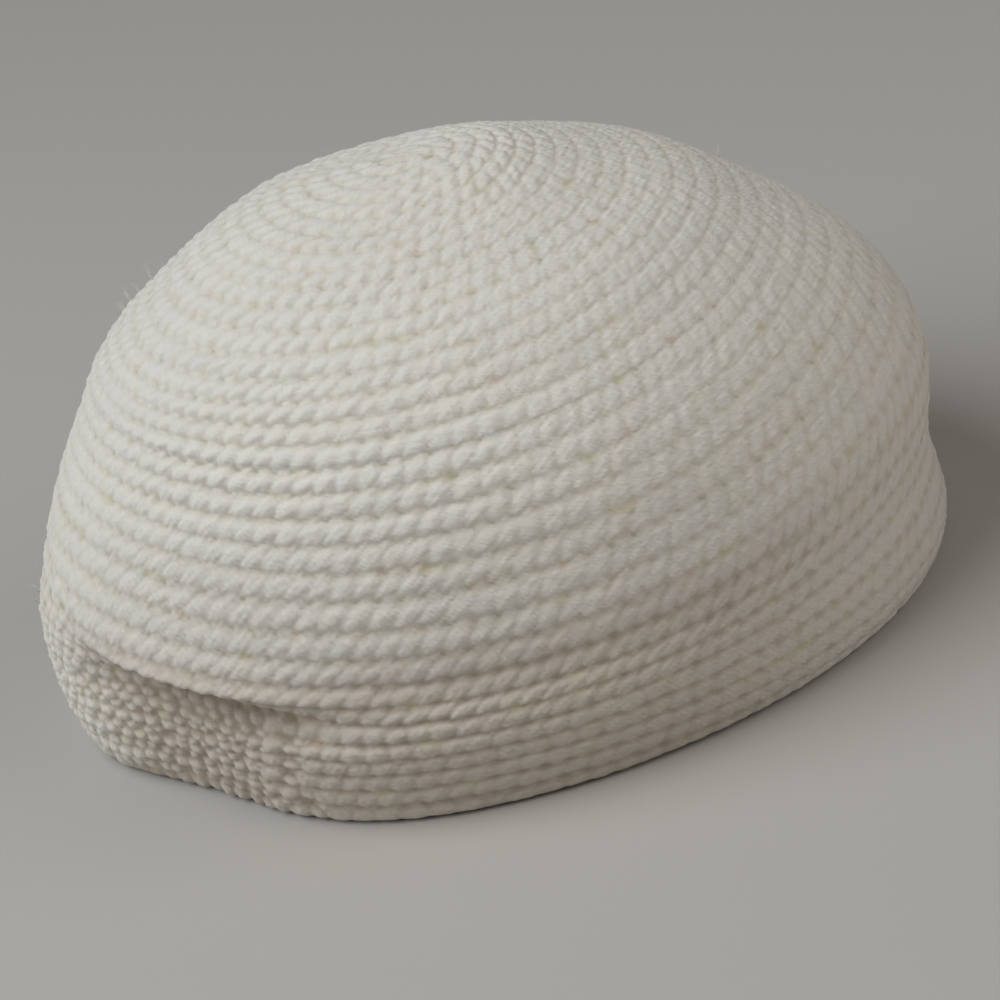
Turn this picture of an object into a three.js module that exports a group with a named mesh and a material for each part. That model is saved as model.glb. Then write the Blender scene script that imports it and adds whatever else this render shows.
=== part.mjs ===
// A crocheted, brimless cap: one domed shell of thick yarn, open underneath.
// Units are millimetres. +X is the front of the cap, +Z is up, and the rim
// stands on the plane z = 0.
//
// The cap is worked in rounds from the middle of the crown outwards, so its
// shape is given round by round. Rounds 0 to 25 are the full, puffed crown;
// from there to the rim they are a tighter band that leans in under it.
import * as THREE from 'three';
import { mergeVertices } from 'three/addons/utils/BufferGeometryUtils.js';

// ---- driving dimensions ---------------------------------------------------
const WALL = 4.8;            // thickness of the crocheted wall
const LAST_ROUND = 32.6;     // the round count where the rim lies
const BAND_FROM = 25.2;      // the round where the crown turns into the band
const AROUND = 64;           // facets around the cap
const YARN_COLOUR = 0xd9d3c6;

// One row for each measured round, an oval that droops at its sides. frontX,
// frontZ: its foremost point; backX, backZ: its rearmost point; halfWidth,
// sideZ: its point at either side.
const SECTIONS = [
  { round: 0.0,  frontX: 2.6,    frontZ: 125.4,  backX: 2.6,     backZ: 125.4,  halfWidth: 0.0,   sideZ: 125.4  },
  { round: 1.5,  frontX: 10.4,   frontZ: 125.2,  backX: -6.2,    backZ: 125.3,  halfWidth: 7.3,   sideZ: 124.8  },
  { round: 4.0,  frontX: 22.9,   frontZ: 123.8,  backX: -21.0,   backZ: 124.1,  halfWidth: 19.3,  sideZ: 122.0  },
  { round: 7.0,  frontX: 35.6,   frontZ: 118.8,  backX: -37.7,   backZ: 120.5,  halfWidth: 35.5,  sideZ: 117.0  },
  { round: 10.0, frontX: 50.4,   frontZ: 112.1,  backX: -53.1,   backZ: 112.8,  halfWidth: 49.1,  sideZ: 110.5  },
  { round: 13.0, frontX: 65.5,   frontZ: 105.1,  backX: -68.7,   backZ: 102.2,  halfWidth: 63.6,  sideZ: 101.1  },
  { round: 16.0, frontX: 78.9,   frontZ: 95.0,   backX: -80.2,   backZ: 93.1,   halfWidth: 75.5,  sideZ: 89.2   },
  { round: 19.0, frontX: 92.4,   frontZ: 83.3,   backX: -88.3,   backZ: 81.1,   halfWidth: 85.0,  sideZ: 74.0   },
  { round: 21.5, frontX: 103.8,  frontZ: 70.9,   backX: -95.9,   backZ: 69.7,   halfWidth: 89.9,  sideZ: 58.3   },
  { round: 23.5, frontX: 110.1,  frontZ: 57.8,   backX: -102.6,  backZ: 57.1,   halfWidth: 91.8,  sideZ: 44.4   },
  { round: 25.0, frontX: 111.5,  frontZ: 46.3,   backX: -106.9,  backZ: 47.7,   halfWidth: 91.8,  sideZ: 34.9   },
  { round: 26.3, frontX: 109.7,  frontZ: 37.0,   backX: -110.5,  backZ: 39.9,   halfWidth: 93.1,  sideZ: 29.2   },
  { round: 28.0, frontX: 107.6,  frontZ: 25.4,   backX: -112.6,  backZ: 29.5,   halfWidth: 93.6,  sideZ: 21.8   },
  { round: 30.3, frontX: 108.7,  frontZ: 9.3,    backX: -112.5,  backZ: 15.6,   halfWidth: 90.9,  sideZ: 11.6   },
  { round: 32.6, frontX: 105.4,  frontZ: 0.0,    backX: -108.6,  backZ: 0.0,    halfWidth: 86.2,  sideZ: 0.0    },
];

// Folds of the soft band. The cap is pressed in by depth around the given
// angle (degrees from the front, positive towards +Y), fading over spread. The
// cloth is doubled in the fold, so inside it the fold starts at insideFrom.
const DENTS = [
  { fromRound: BAND_FROM, insideFrom: 24.0, fullRound: 26.9, angle: -147, spread: 24, depth: 12.2 },
];

// ---- shape ----------------------------------------------------------------
// A natural cubic spline through one column of the section table.
function column(name) {
  const x = SECTIONS.map((row) => row.round);
  const y = SECTIONS.map((row) => row[name]);
  const n = x.length;
  const m = new Array(n).fill(0);
  const c = new Array(n).fill(0);
  const d = new Array(n).fill(0);
  for (let i = 1; i < n - 1; i++) {
    const a = x[i] - x[i - 1];
    const b = 2 * (x[i + 1] - x[i - 1]);
    const e = x[i + 1] - x[i];
    const r = 6 * ((y[i + 1] - y[i]) / e - (y[i] - y[i - 1]) / a);
    const w = b - a * c[i - 1];
    c[i] = e / w;
    d[i] = (r - a * d[i - 1]) / w;
  }
  for (let i = n - 2; i > 0; i--) m[i] = d[i] - c[i] * m[i + 1];
  return (v) => {
    let i = 0;
    while (i < n - 2 && v > x[i + 1]) i++;
    const h = x[i + 1] - x[i];
    const p = (x[i + 1] - v) / h;
    const q = (v - x[i]) / h;
    return p * y[i] + q * y[i + 1] + ((p * p * p - p) * m[i] + (q * q * q - q) * m[i + 1]) * h * h / 6;
  };
}

const shape = {};
for (const name of Object.keys(SECTIONS[0])) if (name !== 'round') shape[name] = column(name);

const smooth = (t) => { const s = Math.min(1, Math.max(0, t)); return s * s * (3 - 2 * s); };

// A point of the outer surface: round counts out from the crown's middle, angle
// is in radians from the front. start names the column where the folds begin.
function outerPoint(round, angle, start = 'fromRound') {
  const frontX = shape.frontX(round), backX = shape.backX(round);
  const frontZ = shape.frontZ(round), backZ = shape.backZ(round);
  const halfWidth = shape.halfWidth(round), sideZ = shape.sideZ(round);
  const c = Math.cos(angle), s = Math.sin(angle);
  const halfLength = (frontX - backX) / 2;
  const p = new THREE.Vector3(
    (frontX + backX) / 2 + halfLength * c,
    halfWidth * s,
    sideZ + (frontZ - backZ) / 2 * c + ((frontZ + backZ) / 2 - sideZ) * c * c,
  );
  for (const dent of DENTS) {
    let turn = angle - THREE.MathUtils.degToRad(dent.angle);
    turn = Math.atan2(Math.sin(turn), Math.cos(turn));
    const away = turn / THREE.MathUtils.degToRad(dent.spread);
    const press = dent.depth * smooth((round - dent[start]) / (dent.fullRound - dent[start])) * Math.exp(-away * away);
    const out = new THREE.Vector2(halfWidth * c, halfLength * s);
    if (out.length() > 1e-6) {
      out.normalize();
      p.x -= press * out.x;
      p.y -= press * out.y;
    }
  }
  return p;
}

// The same point moved in through the wall, square to the surface.
function innerPoint(round, angle) {
  const e = 1e-3;
  const v = Math.max(round, 0.4);
  const at = (r, a) => outerPoint(r, a, 'insideFrom');
  const p = at(round, angle);
  const along = at(v, angle + e).sub(at(v, angle - e));
  const down = at(Math.min(v + e, LAST_ROUND), angle).sub(at(v - e, angle));
  const out = down.cross(along).normalize();
  return p.addScaledVector(out, -WALL);
}

// ---- rows of points, from the middle of the crown to the rim ---------------
const ROUNDS = [];
for (let v = 1.1; v < 3.4; v += 1.1) ROUNDS.push(v);
for (let v = 4.8; v < 23.0; v += 1.5) ROUNDS.push(v);
for (let v = 23.8; v < 27.5; v += 0.5) ROUNDS.push(v);
for (let v = 28.6; v < LAST_ROUND - 0.5; v += 1.3) ROUNDS.push(v);
ROUNDS.push(LAST_ROUND);

const vertices = [];
const faces = [];
const push = (p) => { vertices.push(p.x, p.y, p.z); return vertices.length / 3 - 1; };
const ring = (make, round) => Array.from({ length: AROUND }, (_, j) => push(make(round, (2 * Math.PI * j) / AROUND)));

function skin(make, topOffset, flip) {
  const tri = (a, b, c) => (flip ? faces.push(a, c, b) : faces.push(a, b, c));
  const top = push(outerPoint(0, 0).add(new THREE.Vector3(0, 0, topOffset)));
  let last = null;
  for (const round of ROUNDS) {
    const row = ring(make, round);
    if (round === LAST_ROUND) for (const k of row) vertices[3 * k + 2] = 0;
    for (let j = 0; j < AROUND; j++) {
      const k = (j + 1) % AROUND;
      if (last === null) tri(top, row[j], row[k]);
      else {
        tri(last[j], row[j], row[k]);
        tri(last[j], row[k], last[k]);
      }
    }
    last = row;
  }
  return last;
}

const outerRim = skin(outerPoint, 0, false);
const innerRim = skin(innerPoint, -WALL, true);
for (let j = 0; j < AROUND; j++) {
  const k = (j + 1) % AROUND;
  faces.push(outerRim[j], innerRim[j], innerRim[k]);
  faces.push(outerRim[j], innerRim[k], outerRim[k]);
}

let capGeometry = new THREE.BufferGeometry();
capGeometry.setAttribute('position', new THREE.Float32BufferAttribute(vertices, 3));
capGeometry.setIndex(faces);
capGeometry = mergeVertices(capGeometry, 1e-4);
capGeometry.computeVertexNormals();

const yarn = new THREE.MeshStandardMaterial({ color: YARN_COLOUR, roughness: 0.95, metalness: 0 });
const cap = new THREE.Mesh(capGeometry, yarn);
cap.name = 'crochet_cap';

const hat = new THREE.Group();
hat.add(cap);

export default hat;
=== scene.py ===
import math

import bpy
import numpy as np
from mathutils import Matrix, Vector


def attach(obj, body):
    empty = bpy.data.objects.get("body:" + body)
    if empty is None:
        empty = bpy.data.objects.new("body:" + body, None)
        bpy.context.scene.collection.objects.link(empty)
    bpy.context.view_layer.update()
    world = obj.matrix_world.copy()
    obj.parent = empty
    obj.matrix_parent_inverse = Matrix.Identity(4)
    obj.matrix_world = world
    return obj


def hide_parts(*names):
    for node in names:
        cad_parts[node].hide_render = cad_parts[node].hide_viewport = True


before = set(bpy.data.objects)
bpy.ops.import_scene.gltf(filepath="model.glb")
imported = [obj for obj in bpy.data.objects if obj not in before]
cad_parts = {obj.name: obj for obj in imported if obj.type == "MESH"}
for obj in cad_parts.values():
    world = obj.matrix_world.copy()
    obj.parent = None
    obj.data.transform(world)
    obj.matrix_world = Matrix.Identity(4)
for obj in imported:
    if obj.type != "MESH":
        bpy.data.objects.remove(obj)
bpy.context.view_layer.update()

# ---------------------------------------------------------------- the cap's outer shape, as in the CAD source (mm)
# One row per measured round of the spiral, from the top of the crown (0) down to the rim.
ROUNDS = np.array([
    # round  frontX frontZ  backX   backZ halfWidth sideZ
    [ 0.0,    2.6, 125.4,    2.6,  125.4,   0.0,  125.4],
    [ 1.5,   10.4, 125.2,   -6.2,  125.3,   7.3,  124.8],
    [ 4.0,   22.9, 123.8,  -21.0,  124.1,  19.3,  122.0],
    [ 7.0,   35.6, 118.8,  -37.7,  120.5,  35.5,  117.0],
    [10.0,   50.4, 112.1,  -53.1,  112.8,  49.1,  110.5],
    [13.0,   65.5, 105.1,  -68.7,  102.2,  63.6,  101.1],
    [16.0,   78.9,  95.0,  -80.2,   93.1,  75.5,   89.2],
    [19.0,   92.4,  83.3,  -88.3,   81.1,  85.0,   74.0],
    [21.5,  103.8,  70.9,  -95.9,   69.7,  89.9,   58.3],
    [23.5,  110.1,  57.8, -102.6,   57.1,  91.8,   44.4],
    [25.0,  111.5,  46.3, -106.9,   47.7,  91.8,   34.9],
    [26.3,  109.7,  37.0, -110.5,   39.9,  93.1,   29.2],
    [28.0,  107.6,  25.4, -112.6,   29.5,  93.6,   21.8],
    [30.3,  108.7,   9.3, -112.5,   15.6,  90.9,   11.6],
    [32.6,  105.4,   0.0, -108.6,    0.0,  86.2,    0.0],
])
# Places where the cloth is pressed in: from which round, fully from which round, at what angle, how wide, how deep.
DENTS = [dict(start=25.2, full=26.9, angle=math.radians(-147), spread=math.radians(24), depth=12.2, hollow=2.2)]
SOFT_DENTS = [dict(DENTS[0], start=24.0, hollow=0.0)]      # inside, where the cloth is doubled in the fold
WALL = 4.8
RIM = 32.6
TAU = 2 * math.pi


def natural_spline(x, y):
    """Second derivatives of the natural cubic spline through each column of y."""
    n = len(x)
    a = np.zeros((n, n))
    b = np.zeros((n, y.shape[1]))
    a[0, 0] = a[-1, -1] = 1
    for i in range(1, n - 1):
        l, r = x[i] - x[i - 1], x[i + 1] - x[i]
        a[i, i - 1], a[i, i], a[i, i + 1] = l / 6, (l + r) / 3, r / 6
        b[i] = (y[i + 1] - y[i]) / r - (y[i] - y[i - 1]) / l
    return np.linalg.solve(a, b)


KNOTS, COLUMNS = ROUNDS[:, 0], ROUNDS[:, 1:]
CURVE = natural_spline(KNOTS, COLUMNS)


def columns_at(v):
    v = np.clip(v, 0, RIM)
    i = np.clip(np.searchsorted(KNOTS, v, side="right") - 1, 0, len(KNOTS) - 2)
    w = (KNOTS[i + 1] - KNOTS[i])[..., None]
    t = (v[..., None] - KNOTS[i][..., None]) / w
    s = 1 - t
    return s * COLUMNS[i] + t * COLUMNS[i + 1] + w * w / 6 * ((s ** 3 - s) * CURVE[i] + (t ** 3 - t) * CURVE[i + 1])


def smooth(a, b, x):
    t = np.clip((x - a) / (b - a), 0, 1)
    return t * t * (3 - 2 * t)


def outer(v, phi, dents=DENTS):
    """A point of the outer face, in mm, for round v and angle phi (0 is the front, positive to the wearer's left)."""
    v, phi = np.broadcast_arrays(np.asarray(v, float), np.asarray(phi, float))
    c = columns_at(v)
    fx, fz, bx, bz, hw, sz = (c[..., k] for k in range(6))
    hl = (fx - bx) / 2
    co, si = np.cos(phi), np.sin(phi)
    x = (fx + bx) / 2 + hl * co
    y = hw * si
    z = sz + (fz - bz) / 2 * co + ((fz + bz) / 2 - sz) * co * co
    for d in dents:
        off = (phi - d["angle"] + math.pi) % TAU - math.pi
        to_back = smooth(math.radians(-3), math.radians(-25), off)          # towards the middle of the back it comes in more gently
        press = d["depth"] * smooth(d["start"] - 1.5 * to_back, d["full"] + 2.2 * to_back, v) * np.exp(-(off / d["spread"]) ** 2)
        hollow = smooth(25.6, 26.4, v) * smooth(28.3, 26.9, v)
        press = press + d["hollow"] * hollow * smooth(math.radians(-10), math.radians(2), off) * smooth(math.radians(38), math.radians(22), off)
        nx, ny = hw * co, hl * si
        m = np.maximum(np.hypot(nx, ny), 1e-6)
        x = x - press * nx / m
        y = y - press * ny / m
    return np.stack([x, y, z], -1)


def frame_at(v, phi, dents=DENTS):
    """Point, outward normal, and the lengths in mm of one radian round and of one round down."""
    v = np.asarray(v, float)
    e, g = 0.02, 0.004
    lo, hi = np.clip(v - e, 0.3, RIM), np.clip(v + e, 0.3 + 2 * e, RIM)
    down = (outer(hi, phi, dents) - outer(lo, phi, dents)) / (hi - lo)[..., None]
    along = (outer(np.maximum(v, 0.3), phi + g, dents) - outer(np.maximum(v, 0.3), phi - g, dents)) / (2 * g)
    n = np.cross(along, -down)
    n /= np.maximum(np.linalg.norm(n, axis=-1, keepdims=True), 1e-9)
    return outer(v, phi, dents), n, np.linalg.norm(along, axis=-1), np.linalg.norm(down, axis=-1)


# ---------------------------------------------------------------- the spiral of rounds
# The yarn is worked outwards and round to the right. Above the rim the rounds even out, so that the last one lies
# along the edge; the step of one round that this costs is spread over the middle of the back.
STEP_FROM, STEP_TO = math.radians(148), math.radians(212)


def evening(phi):
    p = (np.asarray(phi) + math.pi) % TAU - math.pi      # -pi..pi
    p = np.where(p < -TAU / 2 + (math.radians(212) - math.pi), p + TAU, p)   # -148..212 degrees
    base = (p + math.pi / 2) / TAU
    t = np.clip((p - STEP_FROM) / (STEP_TO - STEP_FROM), 0, 1)
    a, b = (STEP_FROM + math.pi / 2) / TAU, (STEP_TO - TAU + math.pi / 2) / TAU
    m = (STEP_TO - STEP_FROM) / TAU
    h = (2 * t ** 3 - 3 * t ** 2 + 1) * a + (t ** 3 - 2 * t ** 2 + t) * m + (3 * t ** 2 - 2 * t ** 3) * b + (t ** 3 - t ** 2) * m
    return np.where(p > STEP_FROM, h, base)


def settle(w, phi):
    """The round of the outer face at which spiral place w lies."""
    return w + evening(phi) * smooth(22.0, 31.6, w)


SHIFT = 0.19          # how far the middle of each round's ridge lies below its measured line


def phi_of(w):
    return -math.pi / 2 - TAU * (w - SHIFT)


def lead_of(phi):
    return (phi + math.pi / 2) / TAU - SHIFT


def pucker(v, phi):
    """1 where the band is gathered under the fullest part of the crown, at the back on the wearer's right; else 0."""
    off = (phi + math.radians(160) + math.pi) % TAU - math.pi
    rise = 3.4 * smooth(math.radians(7), math.radians(-10), off)          # it reaches higher towards the middle of the back
    wide = np.where(off < 0, smooth(math.radians(-66), math.radians(-20), off), smooth(math.radians(45), math.radians(22), off))
    return smooth(26.1 - 1.15 * rise, 26.7 + 0.03 * rise, v) * wide


def worn(v, phi):
    """1 at the middle of the back, where the stitches lie flatter."""
    off = (phi + math.radians(186) + math.pi) % TAU - math.pi
    return smooth(9, 15, v) * smooth(math.radians(44), math.radians(18), np.abs(off))


def painted_band_shade(v, phi):
    """Painted shade on the band's colour, standing in for the shade it lies in under the crown: most at the sides, less
    towards the front, least at the middle of the back, and more in the hollow under the fold.
    """
    off = (phi + math.radians(186) + math.pi) % TAU - math.pi
    side = np.abs((phi + math.pi) % TAU - math.pi)
    start = 22.9 + 0.9 * smooth(math.radians(100), math.radians(140), side)
    front = 1 - 0.55 * smooth(math.radians(80), math.radians(40), side)
    band = (0.2 * smooth(17, 23, v) + 0.8 * smooth(start, start + 2.3, v)) * front * (1 - 0.85 * smooth(math.radians(36), math.radians(14), np.abs(off)))
    # extra painted shade in the hollow under the fold
    fold = (phi + math.radians(138) + math.pi) % TAU - math.pi
    return 0.8 * band + 0.3 * smooth(25.6, 26.3, v) * smooth(28.6, 27.2, v) * smooth(math.radians(22), math.radians(10), np.abs(fold))


def flatter(v, phi):
    """How much flatter the rounds lie: over the forehead and about the middle of the crown, where the cloth is stretched.
    They stand up more (less than 0) on the back of the crown's sides."""
    side = np.abs((phi + math.pi) % TAU - math.pi)
    front = 0.72 * smooth(math.radians(103), math.radians(62), side) * smooth(4, 9, v)
    back = 0.55 * smooth(math.radians(108), math.radians(124), side) * smooth(math.radians(168), math.radians(150), side)
    back = back * smooth(7, 10, v) * smooth(21, 17, v)
    return 1 - (1 - front) * (1 - 0.32 * smooth(16, 8, v)) * (1 + back)


rng = np.random.default_rng(578)


def wobble(n, cells):
    """A smooth random line of n values between -1 and 1 with that many swells."""
    k = rng.uniform(-1, 1, max(int(cells), 2) + 3)
    t = np.linspace(0, len(k) - 3.001, n)
    i = t.astype(int)
    f = t - i
    f = f * f * (3 - 2 * f)
    return k[i] * (1 - f) + k[i + 1] * f


def jitter(n, amount):
    return rng.uniform(-amount, amount, n)


# Places of the stitches along the spiral: fine steps first, then one stitch to every 5 mm or so, and 6 mm on the band.
W0, W1 = 0.55, 32.42
fine = np.linspace(W0, W1, 60000)
line = outer(np.minimum(settle(fine, phi_of(fine)), 32.12), phi_of(fine))
run = np.concatenate([[0], np.cumsum(np.linalg.norm(np.diff(line, axis=0), axis=1))])
pitch = (5.2 + 0.75 * smooth(25.0, 27.0, fine)) * (1 - 0.14 * pucker(settle(fine, phi_of(fine)), phi_of(fine)))
index = np.concatenate([[0], np.cumsum(np.diff(run) / pitch[1:])])
count = int(index[-1])
step = 1 + 0.10 * wobble(count, count / 9) + rng.uniform(-0.11, 0.11, count)
step *= 1 + 0.08 * wobble(count, count / 45)
place = np.concatenate([[0], np.cumsum(step)])
place = place / place[-1] * index[-1]
stitch_w = np.interp(place, index, fine)
place = np.interp(place, index, run)
stitch_gap = np.gradient(place)
N = len(stitch_w)

# What each stitch is like: its lean, fullness, length, height and tone, none quite the same.
lean = np.radians(33 + jitter(N, 7) + 3 * wobble(N, N / 20))
full = 1 + jitter(N, 0.09) + 0.06 * wobble(N, N / 7)
long_ = 1 + jitter(N, 0.10)
tall = 1 + jitter(N, 0.10) + 0.06 * wobble(N, N / 12)
gather = pucker(settle(stitch_w, phi_of(stitch_w)), phi_of(stitch_w))
gather = smooth(0.40, 0.60, gather + 0.34 * np.sin(2.4 * np.arange(N)) * smooth(0, 0.3, gather) * smooth(1, 0.7, gather))          # a stitch is gathered or it isn't
nudge_x = jitter(N, 0.34) + gather * jitter(N, 0.55)
nudge_y = jitter(N, 0.24) + gather * jitter(N, 0.75)
post_x, post_y = gather * jitter(N, 0.8), gather * jitter(N, 0.7)
tall *= 1 + gather * jitter(N, 0.12)
lean += gather * math.radians(30)
# Over the forehead and near the middle of the crown the loops stand more upright and further apart.
stitch_side = np.abs((phi_of(stitch_w) + math.pi) % TAU - math.pi)
apart = 1 - (1 - smooth(math.radians(95), math.radians(55), stitch_side)) * (1 - smooth(14, 9, stitch_w))
apart *= (1 - gather) * smooth(27, 24, stitch_w)
lean += math.radians(13) * apart
own_rnd = rng.random(N)
own_tone = np.clip(0.5 + 0.5 * wobble(N, N / 14), 0, 1)
row_tall = 1 + 0.10 * wobble(N, N / 60)
fade = smooth(W1 + 0.01, W1 - 0.10, stitch_w)          # the last stitches sink into the edge


def unsettle(v, phi):
    """The spiral place that lies at round v of the outer face."""
    c = evening(phi)
    w = v - c * smooth(22.0, 31.6, v)
    for _ in range(10):
        w = v - c * smooth(22.0, 31.6, w)
    return w


def relief(v, phi):
    """The crocheted surface at round v and angle phi: height 0 (deepest) to 1 (tops of the loops), and what goes with it."""
    _, _, _, down = frame_at(np.clip(v, 0.4, RIM), phi)
    v = np.where(v > 32, 32 + (v - 32) * 0.5, v)          # the last round rolls under the edge
    w = unsettle(v, phi)
    lead = lead_of(phi)
    ridge = np.round(w + lead) - lead
    even = 1 + evening(phi) * (smooth(22.0, 31.6, w + 0.05) - smooth(22.0, 31.6, w - 0.05)) / 0.1
    h = down * even
    total = np.zeros_like(v)
    tint = np.zeros_like(v)
    tone = np.zeros_like(v)
    weight = np.full_like(v, 1e-9)
    post = np.zeros_like(v)
    best_y = (ridge - w) * h
    K = 4.4
    for dk in (-1, 0, 1):
        wc = ridge + dk
        y = (wc - w) * h
        at = np.interp(wc, stitch_w, np.arange(N), left=-9, right=N + 9)
        i0 = np.floor(at).astype(int)
        for di in (-1, 0, 1, 2):
            i = np.clip(i0 + di, 0, N - 1)
            real = (i0 + di >= 0) & (i0 + di < N) & (np.abs(at - (i0 + di)) < 3)
            x = -(at - i) * stitch_gap[i] - nudge_x[i]
            yy = y - nudge_y[i]
            al = lean[i]
            a = x * np.cos(al) + yy * np.sin(al)
            b = -x * np.sin(al) + yy * np.cos(al)
            gap = stitch_gap[i] * np.sin(al)
            o = apart[i]
            sb = np.where(b < 0, 0.54, 0.61) * (1 - 0.14 * o) * gap * full[i] * (1 + 0.22 * smooth(-0.15, 0.35, yy / h))
            sa = (0.55 * h + 0.12 * stitch_gap[i]) * long_[i]
            loop = np.exp(-np.abs(b / sb) ** 2.7 - np.abs(a / sa) ** 3.2)
            rope = np.exp(-np.abs(yy / (0.43 * h)) ** 3.6)
            near = 0.22 + 0.78 * np.exp(-(x / (0.70 * stitch_gap[i])) ** 4)
            g = gather[i]
            bead = np.exp(-((x / (0.44 * stitch_gap[i])) ** 2 + (yy / (0.25 * h)) ** 2) ** 1.25)
            up = ((0.42 + 0.26 * o) * loop + (0.58 - 0.28 * o) * rope * near + 0.16 * loop * rope) * (1 - g) + (0.22 * rope * near + 0.86 * bead) * g
            up = up * tall[i] * row_tall[i] * fade[i]
            up = np.where(real, np.maximum(up, 0), 0)
            total += up ** K
            k4 = up ** 4
            weight += k4
            tint += own_rnd[i] * k4
            tone += own_tone[i] * k4
            # the post below each loop crosses the valley and leaves a pit on its right
            px, py = x + (0.08 - 0.5 * g) * stitch_gap[i] - post_x[i], y + 0.50 * h - post_y[i]
            bar = 0.60 * np.exp(-np.abs(px / (0.36 * stitch_gap[i])) ** 3 - (py / (0.32 * h)) ** 2)
            bead = 0.90 * np.exp(-((px / (0.42 * stitch_gap[i])) ** 2 + (py / (0.24 * h)) ** 2) ** 1.25)
            post = np.maximum(post, np.where(real, (bar * (1 - g) + bead * g) * fade[i], 0))
    top = total ** (1 / K)
    height = (top ** 4 + post ** 4) ** 0.25
    height = height / 1.08
    heart = smooth(1.1, 0.3, v)
    height = height * (1 - heart) + 0.55 * heart
    along = np.interp(ridge, stitch_w, place)
    al = math.radians(33)
    fa = along * math.cos(al) + best_y * math.sin(al)
    fb = -along * math.sin(al) + best_y * math.cos(al)
    mid = np.clip(1 - np.abs(best_y) / (0.5 * h), 0, 1)
    return height, tint / weight, tone / weight, np.stack([fa, fb, 0.37 * np.round(w + lead)], -1), mid


def inner_relief(v, phi):
    """The back of the fabric: flat bars lying along the rounds, with a soft valley between rounds."""
    _, _, _, h = frame_at(np.clip(v, 0.4, RIM), phi)
    w = unsettle(v, phi)
    lead = lead_of(phi) + 0.5          # its rounds lie between those of the face
    ridge = np.round(w + lead) - lead
    total = np.zeros_like(v)
    tint = np.zeros_like(v)
    weight = np.full_like(v, 1e-9)
    for dk in (-1, 0, 1):
        wc = ridge + dk
        y = (wc - w) * h
        at = np.interp(wc, stitch_w, np.arange(N), left=-9, right=N + 9)
        i0 = np.floor(at).astype(int)
        for di in (-1, 0, 1, 2):
            i = np.clip(i0 + di, 0, N - 1)
            real = (i0 + di >= 0) & (i0 + di < N) & (np.abs(at - (i0 + di)) < 3)
            x = -(at - i) * stitch_gap[i] - nudge_x[i]
            yy = y - nudge_y[i] - 0.10 * h * np.cos(x / stitch_gap[i] * TAU)
            al = np.radians(-12)
            a = x * np.cos(al) + yy * np.sin(al)
            b = -x * np.sin(al) + yy * np.cos(al)
            up = np.exp(-np.abs(b / (0.27 * h * full[i])) ** 2.4 - np.abs(a / (0.56 * stitch_gap[i])) ** 3) * tall[i]
            up = np.where(real, up, 0)
            total += up ** 5
            weight += up ** 4
            tint += own_rnd[i] * up ** 4
    height = np.clip(0.08 + total ** 0.2, 0, 1.1) / 1.05
    along = np.interp(ridge, stitch_w, place)
    mid = np.clip(1 - np.abs(ridge - w) * 2, 0, 1)
    return height, tint / weight, np.full_like(v, 0.5), np.stack([along, (ridge - w) * h, 0.37 * np.round(w + lead)], -1), mid


LUMPS = [(rng.normal(size=3) * f, rng.uniform(0, TAU), amp) for f, amp, n in ((1.0, 0.030, 7), (2.1, 0.024, 8), (4.2, 0.016, 8)) for _ in range(n)]


def lumps(p):
    """Small uneven swellings of the soft yarn, in mm."""
    t = 0
    for k, ph, amp in LUMPS:
        t = t + amp * np.sin(p @ k + ph)
    return t


DEPTH, IN_DEPTH = 1.2, 1.1
HALF = WALL / 2


def tuck(z):
    """How far the edge is drawn towards the middle of the wall at height z: the rim is a half round."""
    up = HALF - np.clip(z, 0, HALF)
    return HALF - np.sqrt(np.maximum(HALF * HALF - up * up, 0))


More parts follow.
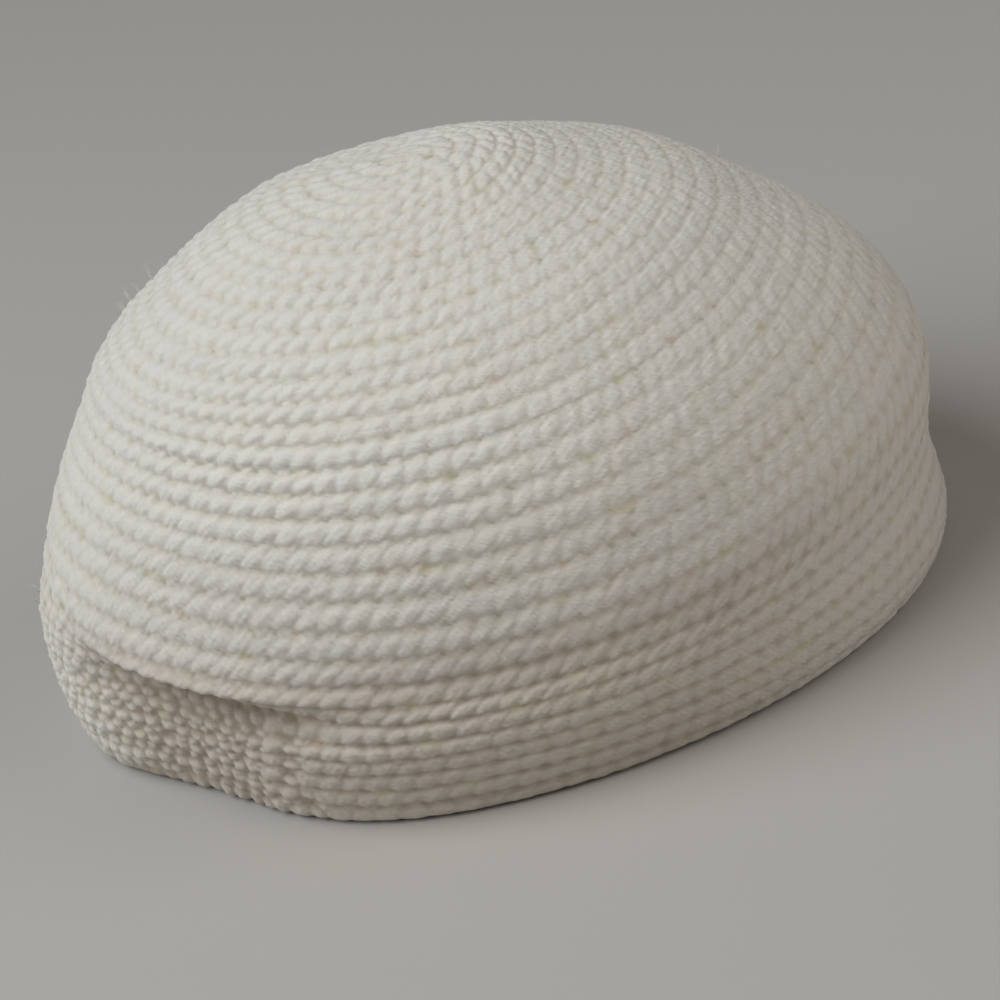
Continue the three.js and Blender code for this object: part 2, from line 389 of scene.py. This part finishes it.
# ---------------------------------------------------------------- sheets: grids over the surface, doubled in columns as it widens
def make_sheet(name, rows, columns, at, material, turned, fold):
    """rows: the round of each row; columns: how many in each row (equal, or double the row before). at(rows' v, phi) gives
    places, crest, rnd, tone and fib. Normals come from the same function, so that sheets meet without a seam."""
    starts, vv, pp = [], [], []
    k = 0
    for v, c in zip(rows, columns):
        starts.append(k)
        vv.append(np.full(c, v))
        pp.append(np.arange(c) / c * TAU - math.pi)
        k += c
    V, P = np.concatenate(vv), np.concatenate(pp)
    xyz, crest, rnd, tone, fib, mid = at(V, P)
    e = 0.045
    hi = np.minimum(V + e, rows[-1] if rows[-1] > RIM else RIM)
    lo = np.maximum(V - e, 0.05)
    dv = at(hi, P)[0] - at(lo, P)[0]
    g = 0.25 / np.maximum(np.hypot(xyz[:, 0], xyz[:, 1]), 2.0)
    dp = at(V, P + g)[0] - at(V, P - g)[0]
    nrm = np.cross(dp, -dv)
    nrm /= np.maximum(np.linalg.norm(nrm, axis=1, keepdims=True), 1e-12)
    if turned:
        nrm = -nrm
    quads, tris = [], []
    qv, tv = [], []
    for r in range(len(rows) - 1):
        a, b, ca, cb = starts[r], starts[r + 1], columns[r], columns[r + 1]
        j = np.arange(ca)
        j2 = (j + 1) % ca
        if ca == cb:
            quads.append(np.stack([a + j, b + j, b + j2, a + j2], -1))
            qv.append(np.stack([j / ca, j / ca, (j + 1) / ca, (j + 1) / ca], -1))
        else:
            t0, t1, t2 = 2 * j, 2 * j + 1, (2 * j + 2) % cb
            tris += [np.stack([a + j, b + t0, b + t1], -1), np.stack([a + j, b + t1, a + j2], -1), np.stack([a + j2, b + t1, b + t2], -1)]
            tv += [np.stack([j / ca, j / ca, (j + .5) / ca], -1), np.stack([j / ca, (j + .5) / ca, (j + 1) / ca], -1),
                   np.stack([(j + 1) / ca, (j + .5) / ca, (j + 1) / ca], -1)]
    quads = np.concatenate(quads) if quads else np.zeros((0, 4), int)
    qv = np.concatenate(qv) if qv else np.zeros((0, 4))
    tris = np.concatenate(tris) if tris else np.zeros((0, 3), int)
    tv = np.concatenate(tv) if tv else np.zeros((0, 3))
    if rows[0] == 0:      # the middle of the crown is one point
        c = columns[0]
        keep_q = quads.min(1) >= c
        first = quads[~keep_q]
        cap = np.stack([np.zeros(len(first), int), first[:, 1], first[:, 2]], -1)
        cap_v = qv[~keep_q][:, [0, 1, 2]]
        quads, qv = quads[keep_q], qv[keep_q]
        tris, tv = np.concatenate([tris, cap]), np.concatenate([tv, cap_v])
        move = np.concatenate([np.zeros(c, int), np.arange(c, len(V)) - c + 1])
        quads, tris = move[quads], move[tris]
        pick = np.concatenate([[0], np.arange(c, len(V))])
        xyz, crest, rnd, tone, fib, mid, nrm, V, P = (q[pick] for q in (xyz, crest, rnd, tone, fib, mid, nrm, V, P))
        nrm[0] = (0, 0, -1 if turned else 1)
    if turned:
        quads, qv, tris, tv = quads[:, ::-1], qv[:, ::-1], tris[:, ::-1], tv[:, ::-1]

    v0, v1 = rows[0], rows[-1]

    def flat(face, turn):
        frac = (V[face] - v0) / (v1 - v0)
        if fold == 0:                     # the crown's top lies flat as a disc
            rad = 0.49 * frac
            ang = turn * TAU
            return np.stack([0.5 + rad * np.cos(ang), 0.5 + rad * np.sin(ang)], -1)
        mid = np.floor(turn.mean(1, keepdims=True) * fold)
        return np.stack([0.01 + 0.98 * (turn * fold - mid), (mid + 0.02 + 0.96 * frac) / fold], -1)

    uv = np.concatenate([flat(quads, qv).reshape(-1, 2), flat(tris, tv).reshape(-1, 2)])
    mesh = bpy.data.meshes.new(name)
    pts = xyz / 1000
    pts[:, 2] = np.maximum(pts[:, 2], 0.00003)
    mesh.vertices.add(len(pts))
    mesh.vertices.foreach_set("co", pts.astype(np.float32).ravel())
    loops = np.concatenate([quads.ravel(), tris.ravel()])
    mesh.loops.add(len(loops))
    mesh.loops.foreach_set("vertex_index", loops.astype(np.int32))
    start = np.concatenate([np.arange(len(quads)) * 4, len(quads) * 4 + np.arange(len(tris)) * 3])
    mesh.polygons.add(len(start))
    mesh.polygons.foreach_set("loop_start", start.astype(np.int32))
    mesh.polygons.foreach_set("loop_total", np.concatenate([np.full(len(quads), 4), np.full(len(tris), 3)]).astype(np.int32))
    mesh.polygons.foreach_set("use_smooth", np.ones(len(start), bool))
    mesh.uv_layers.new(name="OFBake").data.foreach_set("uv", uv.astype(np.float32).ravel())
    # the band attribute carries the painted shade of the band and of the hollow under the fold
    finish_mesh(mesh, [crest], [rnd], [tone], [fib], [mid], [painted_band_shade(V, P)])
    mesh.normals_split_custom_set_from_vertices(nrm.astype(np.float32).tolist())
    return put(mesh, material)


def finish_mesh(mesh, crest, rnd, tone, fib, mid, band):
    for name, data in (("crest", crest), ("rnd", rnd), ("tone", tone), ("mid", mid), ("band", band)):
        a = mesh.attributes.new(name, "FLOAT", "POINT")
        a.data.foreach_set("value", np.concatenate(data).astype(np.float32))
    a = mesh.attributes.new("fib", "FLOAT_VECTOR", "POINT")
    a.data.foreach_set("vector", np.concatenate(fib).astype(np.float32).ravel())
    mesh.update(calc_edges=True)
    mesh.validate()


def put(mesh, material):
    mesh.materials.append(material)
    o = bpy.data.objects.new(mesh.name, mesh)
    bpy.context.scene.collection.objects.link(o)
    return o


EDGE_PHI = np.linspace(-math.pi, math.pi, 4097)
EDGE = np.clip(relief(np.full(4097, 32.1), EDGE_PHI)[0], 0, 1)


def at_edge(p, n, phi):
    """What both faces share near the rim: the tuck, the way it points, and how far each gap between loops is drawn in."""
    t = tuck(p[:, 2])
    free = 1 - t / HALF
    level = n * np.stack([np.ones_like(free), np.ones_like(free), free], -1)
    level /= np.maximum(np.linalg.norm(level, axis=1, keepdims=True), 1e-9)
    gap = (1 - np.interp((phi + math.pi) % TAU - math.pi, EDGE_PHI, EDGE)) * (1 - free)
    return t, free, level, gap


def outer_face(v, phi):
    p, n, _, _ = frame_at(v, phi)
    hgt, rnd, tone, fib, mid = relief(v, phi)
    t, free, n, gap = at_edge(p, n, phi)
    ledge = smooth(25.9, 26.5, v) * smooth(28.8, 27.8, v) * smooth(math.radians(20), math.radians(10), np.abs(phi + math.radians(116)))
    deep = DEPTH * (1 + 0.42 * pucker(v, phi) + 0.6 * ledge - 0.36 * worn(v, phi) - 0.12 * smooth(17, 20, v) - 0.20 * smooth(25.5, 27.0, v) * (1 - pucker(v, phi))) * (1 - flatter(v, phi))
    p = p + n * ((lumps(p) - deep * (1 - hgt)) * free - t - 0.5 * gap)[:, None]
    p[:, 2] += 0.8 * gap
    return p, hgt, rnd, tone, fib, mid


def inner_face(v, phi):
    p, n, _, _ = frame_at(v, phi, SOFT_DENTS)
    hgt, rnd, tone, fib, mid = inner_relief(v, phi)
    t, free, n, gap = at_edge(p, n, phi)
    p = p - n * (WALL - IN_DEPTH * (1 - hgt) * free - t + 0.5 * gap)[:, None]
    p[:, 2] += 0.8 * gap
    return p, hgt, rnd, tone, fib, mid


def columns_for(rows, finest, table):
    return [min(finest, table[int(np.searchsorted([2.0, 4.0, 8.0, 16.5], r, side="right"))]) for r in rows]


def sheets(material):
    made = []
    step_ = 1 / 11
    wide = [75, 150, 300, 600, 1200]
    cuts = [0.0, 16 + 6 / 11, 16 + 6 / 11 + 5.3636364, 16 + 6 / 11 + 2 * 5.3636364, RIM]
    names = ["crown_top", "crown_middle", "crown_lower", "band"]
    for name, lo, hi in zip(names, cuts[:-1], cuts[1:]):
        n = int(round((hi - lo) / step_))
        rows = list(np.linspace(lo, hi, n + 1))
        cols = columns_for([r - 1e-6 if i else r for i, r in enumerate(rows)], 1200, wide) if lo == 0 else [1200] * len(rows)
        if lo == 0:
            cols[0] = cols[1]
            cols[-1] = 1200 if cols[-2] == 600 else cols[-1]
        made.append(make_sheet(name, rows, cols, outer_face, material, False, 0 if lo == 0 else 6))
    wide_in = [75, 75, 150, 300, 600]
    rows = list(np.linspace(0, RIM, 196))
    cols = columns_for(rows, 600, wide_in)
    cut = next(i for i, c in enumerate(cols) if c == 600)
    made.append(make_sheet("inside_crown", rows[:cut + 1], cols[:cut + 1], inner_face, material, True, 0))
    made.append(make_sheet("inside_band", rows[cut:], cols[cut:], inner_face, material, True, 6))
    return made


class Piles:
    """Collects closed strands, each a tapering tube, and makes one mesh of them."""

    def __init__(self, name):
        self.name, self.v, self.f, self.crest, self.rnd, self.fib, self.uv = name, [], [], [], [], [], []
        self.tone = []
        self.base = 0

    def add(self, xyz, crest, rnd, fib, tone):
        """xyz: strands x rings x sides x 3 in mm. The first and last rings are closed with one point each."""
        s, r, k, _ = xyz.shape
        ends = np.stack([xyz[:, 0].mean(1), xyz[:, -1].mean(1)], 1)          # s,2,3
        pts = np.concatenate([xyz.reshape(s, r * k, 3), ends], 1)
        per = r * k + 2
        self.v.append(pts.reshape(-1, 3))
        pad = lambda a: np.concatenate([a.reshape(s, r * k), a[:, [0, -1]].mean(2)], 1)
        self.crest.append(pad(crest).ravel())
        self.rnd.append(np.repeat(rnd, per))
        self.tone.append(np.repeat(tone, per))
        fe = np.stack([fib[:, 0].mean(1), fib[:, -1].mean(1)], 1)
        self.fib.append(np.concatenate([fib.reshape(s, r * k, 3), fe], 1).reshape(-1, 3))
        i, j = np.meshgrid(np.arange(r - 1), np.arange(k), indexing="ij")
        j2 = (j + 1) % k
        quads = np.stack([i * k + j, i * k + j2, (i + 1) * k + j2, (i + 1) * k + j], -1).reshape(-1, 4)
        j = np.arange(k)
        a = np.stack([(j + 1) % k, j, np.full(k, r * k)], -1)
        b = np.stack([(r - 1) * k + j, (r - 1) * k + (j + 1) % k, np.full(k, r * k + 1)], -1)
        off = (self.base + np.arange(s) * per)
        self.f.append((quads[None] + off[:, None, None]).reshape(-1, 4))
        self.f.append((np.concatenate([a, b])[None] + off[:, None, None]).reshape(-1, 3))
        # Each strand has a small patch of its own in the flat map, with its length across and its girth up.
        qi, qj = np.meshgrid(np.arange(r - 1), np.arange(k), indexing="ij")
        qi, qj = qi.ravel(), qj.ravel()
        U = lambda a: 0.06 + 0.88 * a / (r - 1)
        V = lambda a: 0.03 + 0.94 * a / k
        uq = np.stack([np.stack([U(qi), V(qj)], -1), np.stack([U(qi), V(qj + 1)], -1),
                       np.stack([U(qi + 1), V(qj + 1)], -1), np.stack([U(qi + 1), V(qj)], -1)], 1)
        j = np.arange(k)
        ua = np.stack([np.stack([U(0 * j), V(j + 1)], -1), np.stack([U(0 * j), V(j)], -1),
                       np.stack([0 * j + 0.0, V(j + 0.5)], -1)], 1)
        ub = np.stack([np.stack([U(0 * j + r - 1), V(j)], -1), np.stack([U(0 * j + r - 1), V(j + 1)], -1),
                       np.stack([0 * j + 1.0, V(j + 0.5)], -1)], 1)
        self.uv.append((s, uq, np.concatenate([ua, ub])))
        self.base += s * per

    def build(self, material):
        v = np.concatenate(self.v) / 1000
        v[:, 2] = np.maximum(v[:, 2], 0.00003)
        strands = sum(u[0] for u in self.uv)
        cols = int(math.ceil(math.sqrt(strands * 1.4)))
        rows = int(math.ceil(strands / cols))
        loops, starts, totals, maps = [], [], [], []
        at, first = 0, 0
        for (s, uq, ut), fq, ft in zip(self.uv, self.f[0::2], self.f[1::2]):
            cell = first + np.arange(s)
            corner = np.stack([cell % cols, cell // cols], -1)
            for f, u in ((fq, uq), (ft, ut)):
                m = f.shape[1]
                loops.append(f.ravel())
                starts.append(at + np.arange(len(f)) * m)
                totals.append(np.full(len(f), m))
                at += f.size
                w = (corner[:, None, None] + 0.04 + 0.92 * u[None]) / [cols, rows]
                maps.append(w.reshape(-1, 2))
            first += s
        mesh = bpy.data.meshes.new(self.name)
        mesh.vertices.add(len(v))
        mesh.vertices.foreach_set("co", v.astype(np.float32).ravel())
        loops, starts, totals = map(np.concatenate, (loops, starts, totals))
        mesh.loops.add(len(loops))
        mesh.loops.foreach_set("vertex_index", loops.astype(np.int32))
        mesh.polygons.add(len(starts))
        mesh.polygons.foreach_set("loop_start", starts.astype(np.int32))
        mesh.polygons.foreach_set("loop_total", totals.astype(np.int32))
        mesh.polygons.foreach_set("use_smooth", np.ones(len(starts), bool))
        layer = mesh.uv_layers.new(name="OFBake")
        layer.data.foreach_set("uv", np.concatenate(maps).astype(np.float32).ravel())
        finish_mesh(mesh, self.crest, self.rnd, self.tone, self.fib, self.crest, [0 * c for c in self.crest])
        return put(mesh, material)


# ---------------------------------------------------------------- fuzz: loose fibres standing off the yarn
def fuzz(material, many):
    w = rng.uniform(1.5 ** 2, 32.0 ** 2, many) ** 0.5
    phi = rng.uniform(-math.pi, math.pi, many)
    w = np.clip(w, 1.5, 32.0)
    p, n, _, _ = frame_at(w, phi)
    keep = p[:, 2] > 4
    p, n = p[keep], n[keep]
    m = len(p)
    length = rng.uniform(1.2, 3.2, m) * (1 + 1.2 * (rng.random(m) > 0.94))
    a = rng.normal(size=(m, 3))
    a -= n * (a * n).sum(1, keepdims=True)
    a /= np.linalg.norm(a, axis=1, keepdims=True)
    b = np.cross(n, a)
    lift = rng.uniform(0.1, 0.75, m)
    curl = rng.uniform(-1.3, 1.3, m)
    t = np.linspace(0, 1, 5)[None]
    ang = curl[:, None] * t
    run_ = length[:, None] * t
    c = (p[:, None] - n[:, None] * 0.9
         + a[:, None] * (run_ * np.cos(ang) * (1 - lift[:, None] * 0.5))[..., None]
         + b[:, None] * (run_ * np.sin(ang))[..., None]
         + n[:, None] * (lift[:, None] * run_ * (1.15 - 0.3 * t))[..., None])
    c[..., 2] = np.maximum(c[..., 2], 0.3)
    d = np.gradient(c, axis=1)
    d /= np.linalg.norm(d, axis=-1, keepdims=True)
    s = np.cross(d, n[:, None])
    s /= np.maximum(np.linalg.norm(s, axis=-1, keepdims=True), 1e-6)
    u = np.cross(s, d)
    rad = (0.038 * (1 - 0.6 * t))[..., None]
    k = np.arange(3) / 3 * TAU
    ring = c[:, :, None] + s[:, :, None] * (rad * np.cos(k))[..., None] + u[:, :, None] * (rad * np.sin(k))[..., None]
    pile = Piles("loose_fibres")
    pile.add(ring, np.ones(ring.shape[:3]), rng.random(m), ring * 1.0, np.full(m, 0.5))
    ring = tufts()
    pile.add(ring, np.ones(ring.shape[:3]), np.full(len(ring), 0.2), ring * 1.0, np.full(len(ring), 0.5))
    return pile.build(material)


# Places where a few fibres have been pulled up: round, angle in degrees, length in mm, how many.
TUFTS = [(13.3, 151.3, 4.2, 3), (14.0, 152.9, 2.6, 5), (14.4, 154.8, 3.4, 4), (14.8, 156.4, 2.4, 5),
         (16.3, 16.2, 2.2, 4), (26.3, 173.7, 2.6, 5), (26.7, 174.4, 2.0, 3), (19.5, 96.0, 2.4, 4), (9.5, -20.0, 2.0, 3)]


def tufts():
    made = []
    t = np.linspace(0, 1, 7)[:, None]
    for v, deg, length, many in TUFTS:
        p, n, _, _ = frame_at(np.array([v]), np.array([math.radians(deg)]))
        p, n = p[0], n[0]
        for _ in range(many):
            start = p - n * 0.9 + rng.normal(size=3) * (0.12 if many < 4 else 0.35)
            aim = 0.75 * n + np.array([0, 0, 0.65]) + rng.normal(size=3) * (0.05 if many < 4 else 0.16)
            aim /= np.linalg.norm(aim)
            bend = rng.normal(size=3) * 0.10 * length
            reach = (length + 0.9) * rng.uniform(0.8, 1.0)
            c = start + aim * reach * t + bend * t ** 2
            d = np.gradient(c, axis=0)
            d /= np.linalg.norm(d, axis=1, keepdims=True)
            s = np.cross(d, [0.3, 0.5, -0.8])
            s /= np.linalg.norm(s, axis=1, keepdims=True)
            u = np.cross(s, d)
            rad = 0.12 * (1 - 0.75 * t ** 2)
            k = np.arange(5) / 5 * TAU
            made.append(c[:, None] + s[:, None] * (rad * np.cos(k))[..., None] + u[:, None] * (rad * np.sin(k))[..., None])
    return np.array(made)


# ---------------------------------------------------------------- the yarn's finish
def yarn_material(name, fuzzy=False):
    mat = bpy.data.materials.new(name)
    mat.use_nodes = True
    nt = mat.node_tree
    nodes, links = nt.nodes, nt.links
    bsdf = nodes["Principled BSDF"]

    def node(kind, **settings):
        n = nodes.new(kind)
        for key, value in settings.items():
            setattr(n, key, value)
        return n

    def attribute(name, out="Fac"):
        return node("ShaderNodeAttribute", attribute_name=name).outputs[out]

    def noise(vector, scale, detail=2.0, rough=0.5):
        n = node("ShaderNodeTexNoise")
        n.inputs["Scale"].default_value = scale
        n.inputs["Detail"].default_value = detail
        n.inputs["Roughness"].default_value = rough
        links.new(vector, n.inputs["Vector"])
        return n.outputs["Fac"]

    def ramp(value, a, b, lo=0.0, hi=1.0):
        n = node("ShaderNodeMapRange", interpolation_type="SMOOTHSTEP")
        n.inputs["From Min"].default_value = a
        n.inputs["From Max"].default_value = b
        n.inputs["To Min"].default_value = lo
        n.inputs["To Max"].default_value = hi
        links.new(value, n.inputs["Value"])
        return n.outputs["Result"]

    def mix(fac, a, b, blend="MIX"):
        n = node("ShaderNodeMix", data_type="RGBA", blend_type=blend)
        for value, socket in ((fac, n.inputs["Factor"]), (a, n.inputs["A"] if False else n.inputs[6]), (b, n.inputs[7])):
            if isinstance(value, (tuple, float, int)):
                socket.default_value = value if isinstance(value, (float, int)) else (*value, 1.0)
            else:
                links.new(value, socket)
        return n.outputs[2]

    def maths(op, a, b=None):
        n = node("ShaderNodeMath", operation=op)
        for value, socket in ((a, n.inputs[0]), (b, n.inputs[1])):
            if value is None:
                continue
            if isinstance(value, (float, int)):
                socket.default_value = value
            else:
                links.new(value, socket)
        return n.outputs[0]

    place = node("ShaderNodeTexCoord").outputs["Object"]
    crest, rnd, tone = attribute("crest"), attribute("rnd"), attribute("tone")
    fib = attribute("fib", "Vector")

    cream = mix(ramp(noise(place, 38.0, 3.0), 0.35, 0.65), (0.770, 0.755, 0.712), (0.785, 0.768, 0.705))
    cream = mix(ramp(rnd, 0.0, 1.0, 0.0, 0.50), cream, (0.735, 0.725, 0.695))
    cream = mix(ramp(tone, 0.2, 0.9, 0.0, 0.35), cream, (0.800, 0.790, 0.745))
    fine = noise(fib, 1.7, 3.0, 0.6)
    cream = mix(ramp(fine, 0.3, 0.7, 0.0, 0.22), cream, (0.690, 0.672, 0.615))
    # Painted warm shade in the valleys and darker painted shade in the pits, with faint flecks of straw, green and
    # rust.
    valley_shade_mask = ramp(crest, 0.12, 0.90, 1.0, 0.0)
    painted_valley_shade = mix(ramp(noise(place, 90.0, 2.0), 0.4, 0.62), (0.650, 0.610, 0.500), (0.625, 0.605, 0.510))
    col = mix(maths("MULTIPLY", valley_shade_mask, 0.70), cream, painted_valley_shade)
    # darker painted shade in the pits between loops
    painted_pit_shade = ramp(crest, 0.13, 0.30, 0.55, 0.0)
    col = mix(painted_pit_shade, col, (0.42, 0.39, 0.29))
    # Painted shade on the band, darkest between its rounds.
    col = mix(attribute("band"), col, (0.70, 0.645, 0.59), "MULTIPLY")
    col = mix(maths("MULTIPLY", attribute("band"), ramp(crest, 0.25, 0.85, 0.66, 0.0)), col, (0.38, 0.31, 0.25))
    rust = ramp(noise(place, 150.0, 1.0), 0.64, 0.74)
    rust = maths("MULTIPLY", rust, ramp(crest, 0.35, 0.9, 0.8, 0.12))
    col = mix(maths("MULTIPLY", rust, 0.50), col, (0.660, 0.500, 0.390))
    straw_at = node("ShaderNodeVectorMath", operation="ADD")
    links.new(place, straw_at.inputs[0])
    straw_at.inputs[1].default_value = (3.1, 1.7, 0.4)
    straw = ramp(noise(straw_at.outputs[0], 120.0, 1.0), 0.62, 0.72)
    straw = maths("MULTIPLY", straw, ramp(crest, 0.3, 0.9, 0.85, 0.18))
    col = mix(maths("MULTIPLY", straw, 0.5), col, (0.600, 0.580, 0.370))
    links.new(col, bsdf.inputs["Base Color"])

    rough = ramp(noise(place, 400.0, 2.0), 0.3, 0.7, 0.84, 0.96)
    links.new(rough, bsdf.inputs["Roughness"])
    bsdf.inputs["Specular IOR Level"].default_value = 0.20
    bsdf.inputs["Subsurface Weight"].default_value = 0.5
    bsdf.inputs["Subsurface Radius"].default_value = (1.0, 0.85, 0.65)
    bsdf.inputs["Subsurface Scale"].default_value = 0.0012
    bsdf.inputs["Sheen Weight"].default_value = 0.20
    bsdf.inputs["Sheen Roughness"].default_value = 0.5

    # Fibres run along each loop; the bump fades out where one round meets the next.
    stretch = node("ShaderNodeVectorMath", operation="MULTIPLY")
    links.new(fib, stretch.inputs[0])
    stretch.inputs[1].default_value = (0.55, 3.6, 3.6)
    hairs = noise(stretch.outputs[0], 1.0, 3.0, 0.65)
    clumps = noise(place, 700.0, 2.0)
    hold = ramp(attribute("mid"), 0.04, 0.40)
    bump1 = node("ShaderNodeBump")
    bump1.inputs["Strength"].default_value = 0.6
    bump1.inputs["Distance"].default_value = 0.00040
    links.new(maths("ADD", maths("MULTIPLY", maths("MULTIPLY", hairs, hold), 0.8), maths("MULTIPLY", clumps, 0.5)), bump1.inputs["Height"])
    links.new(bump1.outputs["Normal"], bsdf.inputs["Normal"])
    return mat


yarn = yarn_material("cream_yarn")

pieces = sheets(yarn)
pieces.append(fuzz(yarn, 3200))

for o in pieces:
    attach(o, "root")
    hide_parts("crochet_cap")


# ---------------------------------------------------------------- stage
def plain(name, colour, rough=0.9):
    m = bpy.data.materials.new(name)
    m.use_nodes = True
    b = m.node_tree.nodes["Principled BSDF"]
    b.inputs["Base Color"].default_value = (*colour, 1)
    b.inputs["Roughness"].default_value = rough
    b.inputs["Specular IOR Level"].default_value = 0.1
    return m


fm = bpy.data.meshes.new("floor")
fm.from_pydata([(-4, -4, 0), (4, -4, 0), (4, 4, 0), (-4, 4, 0)], [], [(0, 1, 2, 3)])
fm.materials.append(plain("floor_paper", (0.50, 0.485, 0.46)))
floor = bpy.data.objects.new("floor", fm)
bpy.context.scene.collection.objects.link(floor)

world = bpy.data.worlds.new("studio")
world.use_nodes = True
world.node_tree.nodes["Background"].inputs["Color"].default_value = (1.0, 0.95, 0.90, 1)
world.node_tree.nodes["Background"].inputs["Strength"].default_value = 0.09
bpy.context.scene.world = world


def area(name, place, aim, size, power, colour=(1, 1, 1)):
    d = bpy.data.lights.new(name, "AREA")
    d.shape = "DISK"
    d.size = size
    d.energy = power
    d.color = colour
    o = bpy.data.objects.new(name, d)
    bpy.context.scene.collection.objects.link(o)
    o.location = place
    o.rotation_euler = (Vector(aim) - Vector(place)).to_track_quat("-Z", "Y").to_euler()
    return o


# ---------------------------------------------------------------- camera, at the seen angle
az, el, roll = math.radians(-2.866), math.radians(24.835), math.radians(15.487)
back = Vector((math.sin(az) * math.cos(el), -math.cos(az) * math.cos(el), math.sin(el)))
r0 = Vector((math.cos(az), math.sin(az), 0))
u0 = back.cross(r0)
right = math.cos(roll) * r0 - math.sin(roll) * u0
up = math.sin(roll) * r0 + math.cos(roll) * u0
target = Vector((-0.0005, 0, 0.0525))
spot = target + back * 0.9644
aim = target + 0.00836 * right - 0.01585 * up
b2 = (spot - aim).normalized()
r2 = up.cross(b2).normalized()
u2 = b2.cross(r2)
cam = bpy.data.cameras.new("camera")
cam.lens = 145.4
cam.sensor_width = 36
cam.clip_start, cam.clip_end = 0.05, 30
co = bpy.data.objects.new("camera", cam)
bpy.context.scene.collection.objects.link(co)
co.matrix_world = Matrix(((r2.x, u2.x, b2.x, spot.x), (r2.y, u2.y, b2.y, spot.y), (r2.z, u2.z, b2.z, spot.z), (0, 0, 0, 1)))
bpy.context.scene.camera = co

# Wide soft light from the hat's back, which is the left of the picture, and weak light from the front right.
def toward(azimuth, height):
    a, h = math.radians(azimuth), math.radians(height)
    return Vector((math.cos(a) * math.cos(h), math.sin(a) * math.cos(h), math.sin(h)))


centre = Vector((0, 0, 0.06))
area("key", centre + toward(194, 50) * 1.7, centre, 1.9, 25.5, (0.97, 0.985, 1.0))
area("fill", centre + toward(324, 31) * 1.8, centre, 1.8, 10.0, (1.0, 0.95, 0.90))

bpy.context.scene.view_settings.view_transform = "Standard"
